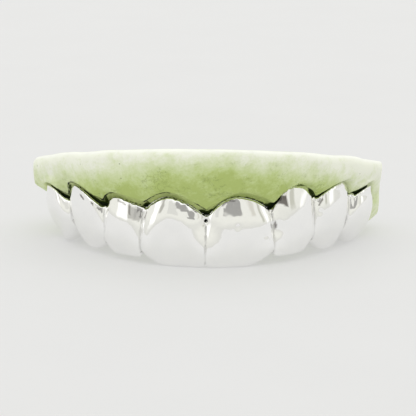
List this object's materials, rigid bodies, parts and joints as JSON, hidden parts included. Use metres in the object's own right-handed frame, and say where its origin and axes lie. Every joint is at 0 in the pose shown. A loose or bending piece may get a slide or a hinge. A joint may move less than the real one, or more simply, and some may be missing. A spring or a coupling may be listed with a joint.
{
  "type": "grillz tooth cover on a stone dental cast",
  "caption": "Polished cast metal cover for the upper front teeth, in one piece with a scalloped gum edge, seated on the green stone dental cast it was shaped on.",
  "frame": {"origin": "under the middle of the whole, at the height of the biting edges it rests on", "axes": "+Z from the biting edges towards the gum, -Y towards the front of the mouth, +X to the right in a front view"},
  "size_m": [0.0512, 0.0312, 0.017],
  "materials": {
    "polished_silver": "mirror polish",
    "green_stone": "matte dental stone"
  },
  "bodies": {
    "root": {"tooth_cover": "polished_silver", "stone_cast": "green_stone"}
  },
  "joints": []
}
